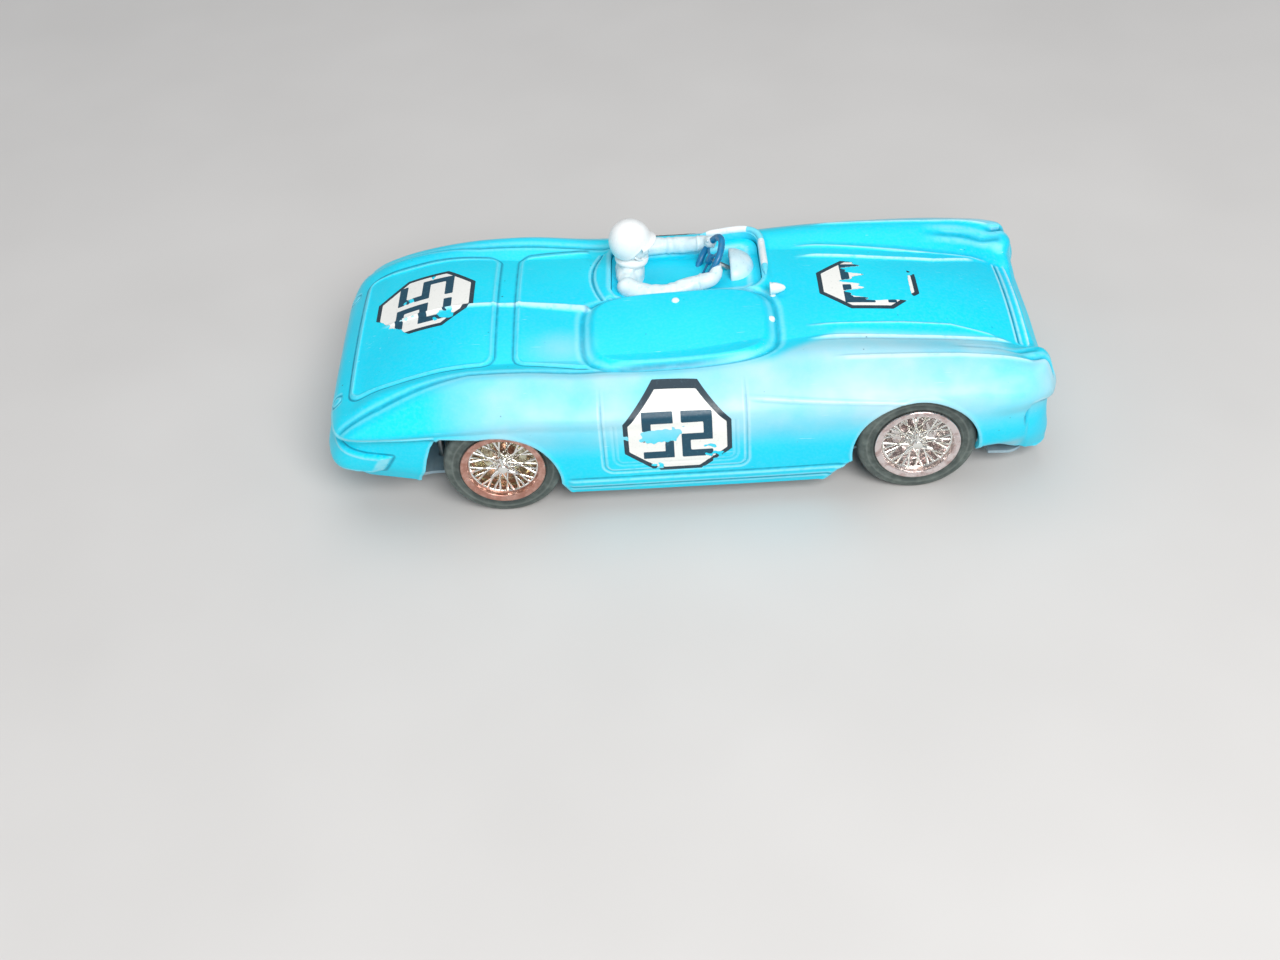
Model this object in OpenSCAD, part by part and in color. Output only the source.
// Friction-drive toy racing car with a hollow moulded body, a driver and a flywheel motor.
// Millimetres. +X is the front, +Y the car's left, +Z up. z = 0 is the ground under the tyres.

/* [Body] */
// Distance between the two axles
wheelbase = 100; // [90:1:110]
// Body behind the rear axle
tail_overhang = 43.8; // [38:0.1:50]
// Body in front of the front axle
nose_overhang = 33.2; // [30:0.1:40]
// Width over the sides
body_w = 75.2; // [73:0.2:80]
// Thickness of the moulded shell
wall = 1.4; // [1:0.1:1.8]

/* [Cockpit] */
// Length of the cockpit opening
cockpit_l = 38; // [34:0.5:40]
// Width of the cockpit opening
cockpit_w = 26; // [24:0.5:27]
// How far the covered passenger side stands above the deck
tonneau_rise = 1.8; // [0:0.1:2.5]
// Radius of the driver's helmet
helmet_r = 5.4; // [4.5:0.1:6]
// Radius of the steering wheel
steering_r = 6; // [5:0.1:6.5]

/* [Wheels] */
// Outer radius of the tyres
tyre_r = 14.5; // [13:0.1:14.7]
// Radius of the rim's outer flange
rim_r = 10.4; // [10:0.1:11]
// Centreline to the tyre's outer face
track_half = 35.2; // [34.5:0.1:35.3]
// Width of a tyre
tyre_w = 7.8; // [7:0.1:8]
// Spokes in each wheel, all told
spoke_count = 24; // [16:4:32]
// Radius of both wheel axles
axle_r = 1.25; // [1:0.05:1.4]

/* [Friction motor] */
// Gear module
gear_module = 0.5; // [0.5]
// Teeth on the rear axle's gear
axle_teeth = 30; // [30]
// Teeth on the countershaft's large gear
counter_teeth = 28; // [28]
// Teeth on both pinions
pinion_teeth = 12; // [12]
// Radius of the flywheel
flywheel_r = 8.5; // [7:0.1:8.6]
// Width of the flywheel
flywheel_w = 7; // [5:0.5:7]
// Radius of the two inner shafts
shaft_r = 0.8; // [0.6:0.05:0.9]

/* [Hidden] */
$fn = 48;

rear_x = (tail_overhang - wheelbase - nose_overhang) / 2;
front_x = rear_x + wheelbase;
axle_z = tyre_r;
run_gap = 0.05;          // radial running clearance of every shaft in its bore

// Pressed base plate
base_t = 0.8;
base_z = 5.6;
base_top = base_z + base_t;
base_half = 33.6;        // half width between the wheels
base_neck = 25.4;        // half width beside the wheels
screw_xy = [[front_x + 15, 0], [rear_x - 17, 19], [rear_x - 17, -19]];
screw_head_r = 2;
screw_core_r = 0.8;

// Cockpit
cockpit_x = rear_x + 28;
cockpit_y = 0.6;
cockpit_corner = 5;
driver_x = rear_x + 33.5;
driver_y = cockpit_y + cockpit_w / 2;
head_z = 45.2;
steering_at = [rear_x + 53.2, driver_y, 38];
steering_lean = 57;      // the wheel's axis from straight up, towards the driver

// Motor layout, across the car (y) and in the side view (x, z)
frame_half = 9.3;
frame_t = 0.8;
gear_w = 2.5;
counter_c = gear_module * (axle_teeth + pinion_teeth) / 2;
flywheel_c = gear_module * (counter_teeth + pinion_teeth) / 2;
counter_angle = 35;
flywheel_angle = -14;
counter_at = [rear_x + counter_c * cos(counter_angle), axle_z + counter_c * sin(counter_angle)];
flywheel_at = counter_at + flywheel_c * [cos(flywheel_angle), sin(flywheel_angle)];
pillar_at = [[rear_x - 8, 22.5], [rear_x - 9.5, 9.5], [rear_x + 25.2, 9], [rear_x + 24.4, 28]];
pillar_r = 1.1;

// Control net of half the body, tail centre to nose centre. Each station has six points:
// deck crease, fender crest, belt, side, lower side and bottom edge. x runs from the rear axle
// of a car with a 100 mm wheelbase, y is out from the centreline and z is up from the ground.
NET = [
    [[-36.5, 0, 30.3], [-40.3, 0, 27.4], [-42, 0, 23.5], [-41.6, 0, 20.8], [-43.8, 0, 15.8], [-39.5, 0, 9.5]],
    [[-36.3, 11, 30.1], [-40.2, 12, 27.2], [-42, 13, 23.5],
     [-41.5, 13, 20.8], [-43.6, 13, 15.8], [-39.4, 13, 9.6]],
    [[-35.5, 19.5, 29.8], [-39.7, 23, 26.8], [-41.6, 25, 23.6],
     [-41, 25, 20.9], [-43, 25, 15.8], [-38.5, 24, 9.8]],
    [[-33, 22.5, 30.4], [-36.5, 29, 28.6], [-38, 33, 25.5],
     [-37.6, 32.6, 21.8], [-39.3, 32.4, 15.8], [-35.5, 30.5, 10.5]],
    [[-27, 23, 32.6], [-27, 29, 33.2], [-28, 35.9, 27.5],
     [-28, 35.8, 23], [-28, 35.2, 16.2], [-27, 33.5, 11]],
    [[-12, 22.5, 36], [-12, 28.5, 36.3], [-12, 36.6, 29], [-12, 37, 24], [-12, 36.4, 14], [-12, 34.8, 9]],
    [[6, 21.5, 35.6], [6, 28.5, 36.6], [6, 36.9, 29.5], [6, 37.5, 22], [6, 37, 12], [6, 35.5, 6.8]],
    [[24, 21.5, 34.8], [24, 28.5, 34.6], [24, 36.8, 28.5], [24, 37.6, 20], [24, 37.1, 11], [24, 35.8, 6.4]],
    [[44, 21.5, 34.8], [44, 28.5, 34.4], [44, 36.8, 28.5], [44, 37.6, 20], [44, 37.1, 11], [44, 35.8, 6.2]],
    [[62, 20, 35.6], [62, 28, 35.8], [62, 36.8, 29], [62, 37.6, 20], [62, 37.1, 11], [62, 35.8, 6.1]],
    [[80, 18, 35.9], [80, 27.5, 36.9], [80, 36.9, 30], [80, 37.6, 21], [80, 36.9, 11], [80, 35.6, 6.1]],
    [[100, 17.8, 33.7], [100, 27.5, 36.3], [100, 37, 30.5], [100, 37.6, 22], [100, 36.8, 13], [100, 35, 7]],
    [[117, 17.6, 31.2], [117, 27.8, 35], [116, 36.5, 30], [116, 37, 21], [116, 36, 14], [117, 34, 11.8]],
    [[124, 17.4, 29.4], [126.5, 30, 33], [127, 34.5, 28.5],
     [127, 34, 20.5], [127, 33.3, 14], [125.2, 31.4, 8.8]],
    [[128, 17, 27.6], [130.2, 27.5, 32.6], [132.8, 28.5, 26.5],
     [133.1, 28, 21], [132.7, 27.5, 14], [132, 26.2, 5.6]],
    [[129.3, 14.5, 27.2], [130.5, 20.5, 28.4], [132, 21, 25],
     [131.5, 20.5, 20], [132, 20, 14], [132.2, 20, 5.8]],
    [[129.8, 8, 27.8], [131.2, 10, 26], [132.6, 10, 23.6],
     [132, 10, 19], [132.5, 10, 13.5], [132.3, 10, 5.8]],
    [[130, 0, 28], [131.4, 0, 25.8], [132.8, 0, 23.5], [132.2, 0, 19], [132.6, 0, 13.5], [132.35, 0, 5.8]]
];
NET_TAIL = 43.8;
NET_NOSE = 33.2;
NET_HALF = 37.6;
// Height of the deck and hood along the centreline
SPINE = [[-36.5, 30.3], [-29, 32.6], [-20, 35.6], [-10, 37.6], [0, 38], [16, 37], [30, 36.6],
         [66, 37.2], [80, 37], [100, 35.6], [115, 33.4], [125, 30.6], [130, 28]];

stations = len(NET) - 1;
steps = 2;               // mesh rings from one station to the next
rows = 6;                // spine, then the six rails of the net
skin_rows = rows * steps;

function catmull(a, b, c, d, s) =
    0.5 * (2 * b + (c - a) * s + (2 * a - 5 * b + 4 * c - d) * s * s + (3 * b - a - 3 * c + d) * s * s * s);

// The stations beyond the centreline are those of the other half
function across(row) = [for (p = row) [p.x, -p.y, p.z]];
function net_row(j) = j < 0 ? across(NET[-j]) : j > stations ? across(NET[2 * stations - j]) : NET[j];

function rails(k) =
    let (i = min(floor(k), stations - 1),
         a = net_row(i - 1), b = net_row(i), c = net_row(i + 1), d = net_row(i + 2))
    [for (n = [0:5]) catmull(a[n], b[n], c[n], d[n], k - i)];

function slope(t, j) =
    let (a = t[max(j - 1, 0)], b = t[min(j + 1, len(t) - 1)]) (b[1] - a[1]) / (b[0] - a[0]);

function hermite(t, x, i = 0) =
    i < len(t) - 2 && x > t[i + 1][0] ? hermite(t, x, i + 1) :
    let (h = t[i + 1][0] - t[i][0], s = (x - t[i][0]) / h)
    (2 * s * s * s - 3 * s * s + 1) * t[i][1] + (s * s * s - 2 * s * s + s) * h * slope(t, i)
        + (3 * s * s - 2 * s * s * s) * t[i + 1][1] + (s * s * s - s * s) * h * slope(t, i + 1);

function clamp01(v) = max(0, min(1, v));
function smooth(v) = let (c = clamp01(v)) c * c * (3 - 2 * c);

// Raised cover over the passenger's side: 1 on top, 0 outside, for x from the rear axle and y
function cover(x, y) =
    let (u = abs(x - 44.5) / 22.5, v = abs(y + 12.6) / 13.2, d = pow(pow(u, 4) + pow(v, 4), 0.25))
    smooth((1.04 - d) / 0.14);

function on_top(p, side) = [p.x, p.y * side, p.z + tonneau_rise * cover(p.x, p.y * side)];

function skin(k, v, side) =
    let (r = rails(k), h = r[0])
    v < 1 ? on_top([h.x, h.y * v, hermite(SPINE, h.x) * (1 - v * v) + h.z * v * v], side) :
    let (i = min(floor(v - 1), 4), s = v - 1 - i,
         b = r[i], c = r[i + 1],
         a = i == 0 ? 2 * b - c : r[i - 1],
         d = i == 4 ? 2 * c - b : r[i + 2])
    on_top(catmull(a, b, c, d, s), side);

// From the net's own sizes to the sizes set at the top
function fit_x(x) = rear_x + (x < 0 ? x * tail_overhang / NET_TAIL :
    x > 100 ? wheelbase + (x - 100) * nose_overhang / NET_NOSE : x * wheelbase / 100);
function fit(p) = [fit_x(p.x), p.y * body_w / 2 / NET_HALF, p.z];

// Closed ring of columns round the car: up the right side, back down the left
columns = 2 * stations * steps;
half_columns = stations * steps;
function column_side(c) = c <= half_columns ? -1 : 1;
function column_k(c) = (c <= half_columns ? c : columns - c) / steps;

function unit(v) = v / norm(v);

function shell_grid() = [for (c = [0:columns - 1]) [for (r = [0:skin_rows])
    fit(skin(column_k(c), r / steps, column_side(c)))]];

function inward(g, c, r) =
    let (e = g[(c + 1) % columns][max(r, 1)] - g[(c + columns - 1) % columns][max(r, 1)],
         d = g[c][min(r + 1, skin_rows)] - g[c][max(r - 1, 0)],
         n = cross(e, d))
    norm(n) < 0.001 ? [0, 0, -1] : unit(n);

// The hollow: the skin moved in by the wall, with its bottom edge drawn down to open the shell
function hollow_grid(g) = [for (c = [0:columns - 1]) [for (r = [0:skin_rows])
    let (n = r == 0 ? [0, 0, -1] : inward(g, c, r), p = g[c][r] + wall * n)
    r == skin_rows ? [p.x, p.y, -2] : p]];

// The two halves share their spine points, and at each end the crown closes to one point
function vid(c, r) =
    let (q = (c + columns) % columns, end = q == 0 || q == half_columns)
    r < steps && end ? q * (skin_rows + 1) + steps :
    r == 0 ? min(q, columns - q) * (skin_rows + 1) :
    q * (skin_rows + 1) + r;

function whole(f) = f[0] != f[1] && f[1] != f[2] && f[0] != f[2];

module lofted(g) {
    sides = [for (c = [0:columns - 1], r = [0:skin_rows - 1], f = [
        [vid(c, r), vid(c + 1, r), vid(c, r + 1)],
        [vid(c + 1, r), vid(c + 1, r + 1), vid(c, r + 1)]]) if (whole(f)) f];
    floor_faces = [for (c = [0:half_columns - 1], f = [
        [vid(c, skin_rows), vid(c + 1, skin_rows), vid(columns - c, skin_rows)],
        [vid(c + 1, skin_rows), vid(columns - c - 1, skin_rows), vid(columns - c, skin_rows)]])
        if (whole(f)) f];
    polyhedron(points = [for (column = g) each column], faces = concat(sides, floor_faces));
}

module rounded_box_2d(x, y, w, h, r) {
    translate([x + r, y]) square([w - 2 * r, h]);
    translate([x, y + r]) square([w, h - 2 * r]);
    for (cx = [x + r, x + w - r], cy = [y + r, y + h - r])
        translate([cx, cy]) circle(r);
}

// Side view of the two wheel openings: a round top, and a sill that flares away from the tyre
module arch_outline() {
    translate([front_x - 0.7, axle_z - 0.3]) circle(15.2);
    polygon([[front_x - 14.2, 13], [front_x - 19.5, 9.5], [front_x - 23.5, 4], [front_x + 16, 4],
             [front_x + 13.8, 13]]);
    translate([rear_x - 1.4, axle_z - 3.9]) circle(15.4);
    polygon([[rear_x - 15, 26.2], [rear_x - 2, 25.4], [rear_x + 13, 12], [rear_x + 16.5, 4],
             [rear_x - 22, 4], [rear_x - 19.8, 12.6]]);
}

module arch_cutter(side) {
    depth = 14;
    translate([0, side * 33 + depth / 2, 0]) rotate([90, 0, 0]) linear_extrude(depth) arch_outline();
}

module body_shell() {
    outer = shell_grid();
    color([0.05, 0.78, 0.95])
    resize([0, 0, 0]) difference() {
        union() {
            difference() {
                lofted(outer);
                lofted(hollow_grid(outer));
            }
            intersection() {
                lofted(outer);
                for (p = screw_xy) translate([p.x, p.y, base_top]) cylinder(r = 2.8, h = 40, $fn = 20);
            }
        }
        for (p = screw_xy) translate([p.x, p.y, 0]) cylinder(r = screw_core_r + run_gap, h = 17, $fn = 16);
        for (side = [-1, 1]) arch_cutter(side);
        translate([0, 0, 26]) linear_extrude(20)
            rounded_box_2d(cockpit_x, cockpit_y, cockpit_l, cockpit_w, cockpit_corner, $fn = 32);
    }
}

function arc(cx, cy, r, a0, a1, n) =
    [for (i = [0:n]) let (a = a0 + (a1 - a0) * i / n) [cx + r * cos(a), cy + r * sin(a)]];

// Half outline of the base plate, tail to nose, as seen from above
base_outline = concat(
    arc(rear_x - 29, base_neck - 5, 6, 180, 90, 6),
    [[rear_x - 22, base_neck + 0.6], [rear_x - 19, base_neck], [rear_x + 17, base_neck],
     [rear_x + 20, base_half], [front_x - 24, base_half], [front_x - 19, base_neck],
     [front_x + 17.5, base_neck], [front_x + 18.5, 30]],
    arc(front_x + 22, 24, 6.5, 75, 0, 6));

module base_plate() {
    half = base_outline;
    whole_outline = concat(half, [for (i = [len(half) - 1:-1:0]) [half[i].x, -half[i].y]]);
    color([0.66, 0.74, 0.78]) difference() {
        union() {
            intersection() {
                linear_extrude(14) polygon(whole_outline);
                rotate([90, 0, 0]) translate([0, 0, -40]) linear_extrude(80) polygon([
                    [rear_x - 36, 8.4], [rear_x - 23, base_z], [front_x + 30, base_z],
                    [front_x + 30, base_top], [rear_x - 23, base_top], [rear_x - 36, 8.4 + base_t]]);
            }
            for (side = [-1, 1]) {
                flange_l = wheelbase - 46;
                translate([rear_x + 22, side * (base_half - 0.4) - 0.4, base_z]) cube([flange_l, 0.8, 3.6]);
                translate([rear_x + 34, side * 17 - 1, base_top - 0.1]) cube([42, 2, 0.8]);
            }
        }
        for (p = screw_xy) {
            translate([p.x, p.y, base_z - 0.01])
                cylinder(r1 = screw_head_r + 0.01, r2 = screw_core_r + 0.3, h = base_t + 0.02);
        }
        for (x = [front_x - 4, front_x + 4], y = [-13, 13]) translate([x, y, 0]) cylinder(r = 0.8, h = 10);
    }
}

module base_screws() {
    color([0.6, 0.6, 0.6]) for (p = screw_xy) translate([p.x, p.y, base_z + 0.05]) difference() {
        union() {
            cylinder(r1 = screw_head_r - 0.05, r2 = screw_core_r, h = base_t);
            cylinder(r = screw_core_r, h = 9);
        }
        translate([-screw_head_r, -0.25, -0.01]) cube([2 * screw_head_r, 0.5, 0.4]);
    }
}

module cockpit_tub() {
    gap = 0.3;
    skin_t = 1;
    top = 33.6;
    floor_z = 23;
    x = cockpit_x + gap;
    y = cockpit_y + gap;
    l = cockpit_l - 2 * gap;
    w = cockpit_w - 2 * gap;
    color([0.04, 0.55, 0.82]) {
        difference() {
            translate([0, 0, floor_z]) linear_extrude(top - floor_z)
                rounded_box_2d(x, y, l, w, cockpit_corner - gap);
            translate([0, 0, floor_z + skin_t]) linear_extrude(20)
                rounded_box_2d(x + skin_t, y + skin_t, l - 2 * skin_t, w - 2 * skin_t,
                               cockpit_corner - gap - skin_t);
        }
        translate([cockpit_x + 4, driver_y - 8, floor_z]) cube([20, 16, 5]);
    }
}

module blob(p, r) {
    translate(p) sphere(r, $fn = 20);
}

// Half figure from the waist up, with both arms out to the steering wheel
module driver_figure() {
    seat_z = 28.2;
    shoulder_z = 38;
    color([0.80, 0.86, 0.90]) difference() {
        union() {
            hull() {
                for (s = [-1, 1]) {
                    blob([driver_x - 0.3, driver_y + s * 5.6, shoulder_z - 1], 2.9);
                    blob([driver_x, driver_y + s * 4, seat_z + 3], 3.2);
                }
            }
            blob([driver_x + 0.4, driver_y, shoulder_z + 1.6], 2.6);
            hull() {
                blob([driver_x + 2, driver_y, seat_z + 3], 3);
                blob([driver_x + 15, driver_y, seat_z + 2.4], 2.6);
            }
            for (s = [-1, 1]) {
                elbow = [driver_x + 9, driver_y + s * 9.3, 33.6];
                hand = [steering_at.x - 1.4, driver_y + s * 5.8, steering_at.z + 1];
                hull() {
                    blob([driver_x, driver_y + s * 7, shoulder_z - 1.4], 2.3);
                    blob(elbow, 1.9);
                }
                hull() {
                    blob(elbow, 1.9);
                    blob(hand, 1.3);
                }
            }
        }
        translate([driver_x - 20, driver_y - 20, seat_z - 20]) cube([60, 40, 20]);
        translate(steering_at) rotate([0, -steering_lean, 0])
            rotate_extrude() translate([steering_r, 0]) circle(0.75);
        translate([driver_x, driver_y, head_z]) sphere(helmet_r + 0.03);
    }
}

module driver_helmet() {
    color([0.96, 0.97, 0.97]) translate([driver_x, driver_y, head_z]) {
        sphere(helmet_r);
        translate([helmet_r * 0.62, 0, 0.6]) rotate([0, 14, 0]) intersection() {
            cylinder(r = helmet_r * 0.72, h = 0.7);
            translate([0, -helmet_r, -1]) cube([helmet_r, 2 * helmet_r, 3]);
        }
    }
}

module steering_wheel() {
    color([0.04, 0.16, 0.38]) translate(steering_at) rotate([0, -steering_lean, 0]) {
        rotate_extrude() translate([steering_r, 0]) circle(0.6);
        translate([0, 0, -0.5]) cylinder(r = 1.5, h = 1);
        for (a = [90, 210, 330]) rotate([0, 0, a])
            translate([0.6, -0.6, -0.3]) cube([steering_r - 0.8, 1.2, 0.6]);
    }
}

module steering_column() {
    color([0.5, 0.55, 0.6]) translate(steering_at) rotate([0, -steering_lean, 0])
        translate([0, 0, -8]) cylinder(r = 0.7, h = 7.5);
}

// Hooded instrument cowl that closes the cockpit's front, on a block that stands in the tub
module dash_cowl() {
    face_x = cockpit_x + cockpit_l - 6.8;
    depth = 4.7;
    hood_z = 36.6;
    floor_z = 24.05;
    color([0.62, 0.84, 0.90]) difference() {
        union() {
            translate([face_x, driver_y, hood_z]) rotate([0, 84, 0]) cylinder(r1 = 5.8, r2 = 6.4, h = depth);
            translate([face_x + 0.4, driver_y - 9.6, floor_z]) cube([depth - 0.4, 19.2, 34.4 - floor_z]);
        }
        translate(steering_at) rotate([0, -steering_lean, 0])
            translate([0, 0, -8.4]) cylinder(r = 0.75, h = 8);
    }
}

// Small streamlined mirror pod on the scuttle
module cowl_mirror() {
    foot_z = 37.64;
    pod_z = 39.4;
    color([0.9, 0.95, 0.97]) translate([rear_x + 67.6, -2.6, 0]) {
        translate([0, 0, pod_z]) rotate([0, 90, 0]) {
            cylinder(r1 = 1.5, r2 = 0.5, h = 3.6);
            translate([0, 0, -0.5]) cylinder(r = 1.6, h = 0.5);
        }
        translate([0, 0, foot_z]) cylinder(r = 0.5, h = pod_z - foot_z);
    }
}

// Wheels. Each part is drawn with its axis on Z and +Z outward, z = 0 on the car's centreline.
module at_wheel(x, side) {
    translate([x, 0, axle_z]) rotate([side > 0 ? -90 : 90, 0, 0]) children();
}

seat_r = rim_r - 0.8;    // where the tyre sits on the rim
well_r = rim_r - 1.7;    // inside of the rim's barrel

module tyre() {
    inner = track_half - tyre_w;
    shoulder = 1.6;
    color([0.30, 0.34, 0.33]) rotate_extrude($fn = 96) polygon(concat(
        [[seat_r, inner + 0.8], [rim_r + 0.3, inner]],
        arc(tyre_r - shoulder, inner + shoulder, shoulder, -90, 0, 5),
        arc(tyre_r - shoulder, track_half - shoulder, shoulder, 0, 90, 5),
        [[rim_r + 0.3, track_half], [seat_r, track_half - 0.8]]));
}

module rim() {
    inner = track_half - tyre_w;
    face = track_half + 0.6;
    color([0.82, 0.70, 0.64]) difference() {
        rotate_extrude($fn = 96) polygon([
            [0, inner - 1.6], [2.6, inner - 1.6], [2.6, inner + 1], [well_r - 0.4, inner + 1.2],
            [well_r - 0.4, inner - 0.4], [rim_r, inner - 0.4], [rim_r, inner - 0.05], [seat_r, inner + 0.75],
            [seat_r, track_half - 0.75], [rim_r, track_half + 0.02], [rim_r, face - 0.3], [rim_r - 0.4, face],
            [well_r + 0.4, face - 0.2], [well_r, face - 0.8], [well_r, inner + 2.2], [2.2, inner + 2],
            [2.2, inner + 3], [0, inner + 3]]);
        translate([0, 0, inner - 3]) cylinder(r = axle_r, h = 8);
    }
}

// Wire-spoke insert: a ring in the rim's well, a hub barrel and two fans of crossing spokes
module spokes() {
    ring_z = track_half - 1.6;
    hub_r = 1.8;
    hub_z = track_half - 4.7;
    tip_z = track_half - 0.7;
    color([0.85, 0.86, 0.88]) {
        translate([0, 0, ring_z]) difference() {
            cylinder(r = well_r - 0.02, h = 0.8);
            translate([0, 0, -0.1]) cylinder(r = well_r - 0.7, h = 1);
        }
        difference() {
            translate([0, 0, hub_z]) cylinder(r = hub_r, h = tip_z - hub_z);
            translate([0, 0, hub_z - 0.1]) cylinder(r = axle_r, h = 2.9);
        }
        for (i = [0:spoke_count - 1]) {
            a = 360 * i / spoke_count;
            lean = i % 2 == 0 ? 38 : -38;
            z0 = i % 4 < 2 ? tip_z - 0.4 : ring_z - 1.4;
            start = [(hub_r - 0.3) * cos(a + lean), (hub_r - 0.3) * sin(a + lean), z0];
            end = [(well_r - 0.4) * cos(a), (well_r - 0.4) * sin(a), ring_z + 0.4];
            strut(start, end, 0.22);
        }
    }
}

module strut(a, b, r) {
    v = b - a;
    translate(a) rotate([0, acos(v.z / norm(v)), atan2(v.y, v.x)]) cylinder(r = r, h = norm(v), $fn = 16);
}

// Three-eared knock-off nut
module spinner() {
    z0 = track_half - 0.7;
    color([0.80, 0.78, 0.74]) {
        translate([0, 0, z0]) cylinder(r1 = 1.75, r2 = 1.2, h = 1.5);
        for (a = [90, 210, 330]) rotate([0, 0, a]) hull() {
            translate([0.8, 0, z0 + 0.3]) cylinder(r = 0.6, h = 0.8, $fn = 24);
            translate([3.4, 0, z0 + 0.7]) cylinder(r = 0.5, h = 0.6, $fn = 24);
        }
    }
}

// An axle or shaft along Y, with chamfered ends
module cross_shaft(at, r, y0, y1) {
    chamfer = 0.3;
    translate([at.x, y0, at.y]) rotate([-90, 0, 0]) {
        cylinder(r1 = r - chamfer, r2 = r, h = chamfer);
        translate([0, 0, chamfer]) cylinder(r = r, h = y1 - y0 - 2 * chamfer);
        translate([0, 0, y1 - y0 - chamfer]) cylinder(r1 = r, r2 = r - chamfer, h = chamfer);
    }
}

module wheel_axle(x) {
    half = track_half - 2.2;
    color([0.72, 0.72, 0.72]) cross_shaft([x, axle_z], axle_r, -half, half);
}

// Loose tubes that keep the wheels apart from the bracket or frame
module axle_spacers(x, from, to) {
    color([0.7, 0.7, 0.66]) for (side = [-1, 1]) at_wheel(x, side) translate([0, 0, from]) difference() {
        cylinder(r = 2.2, h = to - from);
        translate([0, 0, -1]) cylinder(r = axle_r + run_gap, h = to - from + 2);
    }
}

bracket_half = 20;
bracket_t = 0.8;

module front_axle_bracket() {
    color([0.75, 0.75, 0.72]) difference() {
        union() {
            translate([front_x - 7, -bracket_half, base_top]) cube([14, 2 * bracket_half, bracket_t]);
            for (side = [-1, 1]) translate([0, side * (bracket_half - bracket_t / 2) + bracket_t / 2, 0])
                rotate([90, 0, 0]) linear_extrude(bracket_t) {
                    translate([front_x, axle_z]) circle(4);
                    polygon([[front_x - 7, base_top], [front_x + 7, base_top],
                             [front_x + 4, axle_z], [front_x - 4, axle_z]]);
                }
        }
        translate([front_x, -30, axle_z]) rotate([-90, 0, 0]) cylinder(r = axle_r + run_gap, h = 60);
        for (x = [front_x - 4, front_x + 4], y = [-13, 13]) translate([x, y, 0]) cylinder(r = 0.8, h = 10);
    }
}

module bracket_rivets() {
    color([0.7, 0.7, 0.7]) for (x = [front_x - 4, front_x + 4], y = [-13, 13]) translate([x, y, base_z]) {
        cylinder(r = 0.8, h = base_t + bracket_t);
        translate([0, 0, base_t + bracket_t]) cylinder(r1 = 1.5, r2 = 0.9, h = 0.6);
    }
}

// One side plate of the motor, with its foot turned out over the base plate
module motor_frame(side) {
    inner = side > 0 ? frame_half : -frame_half - frame_t;
    corners = [[rear_x - 12, base_top], [rear_x + 27.4, base_top], [rear_x + 27.4, 26], [rear_x + 25, 30.2],
               [rear_x - 5, 26.5], [rear_x - 12, 24]];
    color([0.78, 0.78, 0.74]) difference() {
        union() {
            translate([0, inner, 0]) rotate([90, 0, 0]) mirror([0, 0, 1])
                linear_extrude(frame_t) polygon(corners);
            translate([rear_x - 12, side > 0 ? frame_half : -frame_half - 5, base_top])
                cube([39.4, 5, frame_t]);
        }
        translate([0, inner - 1, 0]) {
            hole_through([rear_x, axle_z], axle_r + run_gap);
            hole_through(counter_at, shaft_r + run_gap);
            hole_through(flywheel_at, shaft_r + run_gap);
            for (p = pillar_at) hole_through(p, pillar_r - 0.4);
        }
    }
}

module hole_through(at, r) {
    translate([at.x, 0, at.y]) rotate([-90, 0, 0]) cylinder(r = r, h = frame_t + 2);
}

// Riveted pillars that hold the two side plates apart
module frame_pillars() {
    color([0.7, 0.7, 0.68]) for (p = pillar_at) translate([p.x, -frame_half, p.y]) rotate([-90, 0, 0]) {
        cylinder(r = pillar_r, h = 2 * frame_half);
        translate([0, 0, -frame_t - 0.5]) cylinder(r = pillar_r - 0.4, h = 2 * frame_half + 2 * frame_t + 1);
        for (z = [-frame_t - 0.5, 2 * frame_half + frame_t])
            translate([0, 0, z]) cylinder(r = pillar_r, h = 0.5);
    }
}

// Involute spur gear on the Z axis, with a tooth centred on angle `turn`
pressure = 20;
deg = 180 / PI;
function inv(a) = tan(a) * deg - a;
function flank_angle(n, r) =
    let (rp = gear_module * n / 2, rb = rp * cos(pressure), slack = 0.07 / 2 / rp * deg)
    90 / n - slack + inv(pressure) - inv(r > rb ? acos(rb / r) : 0);

module spur_gear(n, w, bore, turn) {
    rp = gear_module * n / 2;
    tip = rp + 0.8 * gear_module;
    root = rp - 1.15 * gear_module;
    base = max(root, rp * cos(pressure));
    radii = concat(root < base ? [root] : [], [for (i = [0:5]) base + (tip - base) * i / 5]);
    points = [for (t = [0:n - 1], s = [-1, 1], i = [0:len(radii) - 1])
        let (r = radii[s < 0 ? i : len(radii) - 1 - i], a = turn + 360 * t / n + s * flank_angle(n, r))
        [r * cos(a), r * sin(a)]];
    difference() {
        linear_extrude(w) polygon(points);
        translate([0, 0, -1]) cylinder(r = bore, h = w + 2);
    }
}

// Lays a gear along Y: the drawing's (x, y) becomes the side view's (x, z), and its Z becomes Y.
module gear_at(at, y) {
    translate([at.x, y, at.y]) rotate([90, 0, 0]) mirror([0, 0, 1]) children();
}

axle_gear_y = -7.5;
counter_gear_y = -3;
pinion_w = gear_w + 1;
flywheel_y = 1.2;

module axle_gear() {
    color([0.86, 0.72, 0.35]) gear_at([rear_x, axle_z], axle_gear_y) {
        spur_gear(axle_teeth, gear_w, axle_r, counter_angle);
    }
}

module counter_pinion() {
    color([0.86, 0.72, 0.35]) gear_at(counter_at, axle_gear_y - 0.5)
        spur_gear(pinion_teeth, pinion_w, shaft_r, counter_angle + 180 + 180 / pinion_teeth);
}

module counter_gear() {
    color([0.86, 0.72, 0.35]) gear_at(counter_at, counter_gear_y)
        spur_gear(counter_teeth, gear_w, shaft_r, flywheel_angle);
}

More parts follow.
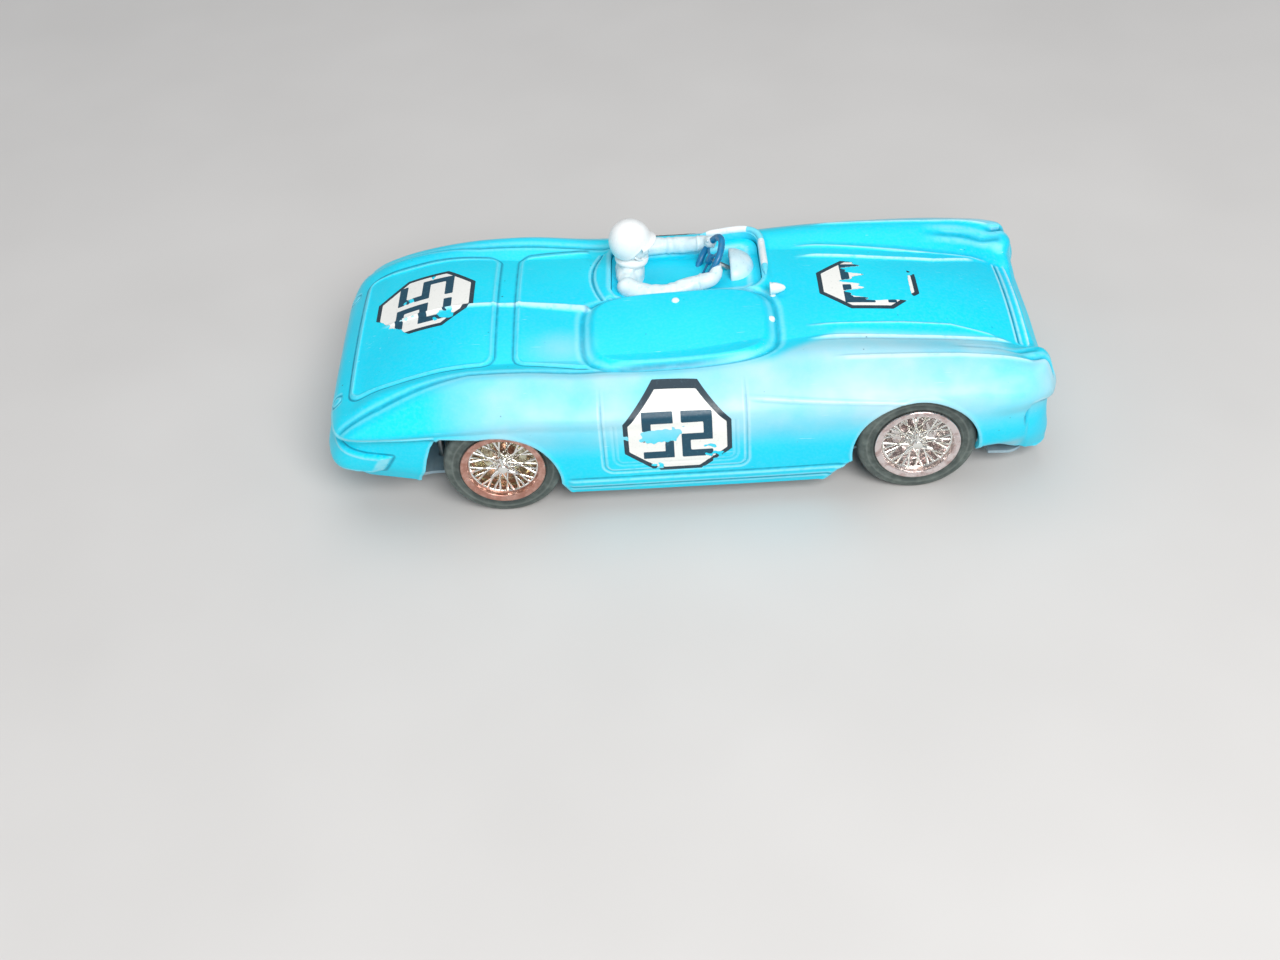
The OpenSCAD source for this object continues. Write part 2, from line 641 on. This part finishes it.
module flywheel_pinion() {
    color([0.86, 0.72, 0.35]) gear_at(flywheel_at, counter_gear_y - 0.5)
        spur_gear(pinion_teeth, pinion_w, shaft_r, flywheel_angle + 180 + 180 / pinion_teeth);
}

module flywheel() {
    web = 2.6;
    side = (flywheel_w - web) / 2;
    color([0.45, 0.46, 0.48]) gear_at(flywheel_at, flywheel_y) rotate_extrude($fn = 96) polygon([
        [shaft_r, 0.6], [2.4, 0.6], [2.4, side], [flywheel_r - 2.6, side], [flywheel_r - 2.4, 0],
        [flywheel_r - 0.3, 0], [flywheel_r, 0.3], [flywheel_r, flywheel_w - 0.3],
        [flywheel_r - 0.3, flywheel_w], [flywheel_r - 2.4, flywheel_w],
        [flywheel_r - 2.6, flywheel_w - side], [2.4, flywheel_w - side], [2.4, flywheel_w - 0.6],
        [shaft_r, flywheel_w - 0.6]]);
}

module inner_shaft(at) {
    half = frame_half + frame_t + 0.6;
    color([0.7, 0.7, 0.72]) cross_shaft(at, shaft_r, -half, half);
}

body_shell();
base_plate();
base_screws();
cockpit_tub();
driver_figure();
driver_helmet();
steering_wheel();
steering_column();
dash_cowl();
cowl_mirror();
front_axle_bracket();
bracket_rivets();
wheel_axle(front_x);  // front_axle
axle_spacers(front_x, bracket_half + 0.4, 25.4);  // front_axle_spacers
wheel_axle(rear_x);  // rear_axle
axle_spacers(rear_x, frame_half + frame_t + 0.4, 25.4);  // rear_axle_spacers
at_wheel(front_x, 1) tyre();  // tyre_front_left
at_wheel(front_x, -1) tyre();  // tyre_front_right
at_wheel(rear_x, 1) tyre();  // tyre_rear_left
at_wheel(rear_x, -1) tyre();  // tyre_rear_right
at_wheel(front_x, 1) rim();  // rim_front_left
at_wheel(front_x, -1) rim();  // rim_front_right
at_wheel(rear_x, 1) rim();  // rim_rear_left
at_wheel(rear_x, -1) rim();  // rim_rear_right
at_wheel(front_x, 1) spokes();  // spokes_front_left
at_wheel(front_x, -1) spokes();  // spokes_front_right
at_wheel(rear_x, 1) spokes();  // spokes_rear_left
at_wheel(rear_x, -1) spokes();  // spokes_rear_right
at_wheel(front_x, 1) spinner();  // spinner_front_left
at_wheel(front_x, -1) spinner();  // spinner_front_right
at_wheel(rear_x, 1) spinner();  // spinner_rear_left
at_wheel(rear_x, -1) spinner();  // spinner_rear_right
motor_frame(1);  // motor_frame_left
motor_frame(-1);  // motor_frame_right
frame_pillars();
axle_gear();
inner_shaft(counter_at);  // countershaft
counter_pinion();
counter_gear();
inner_shaft(flywheel_at);  // flywheel_shaft
flywheel_pinion();
flywheel();
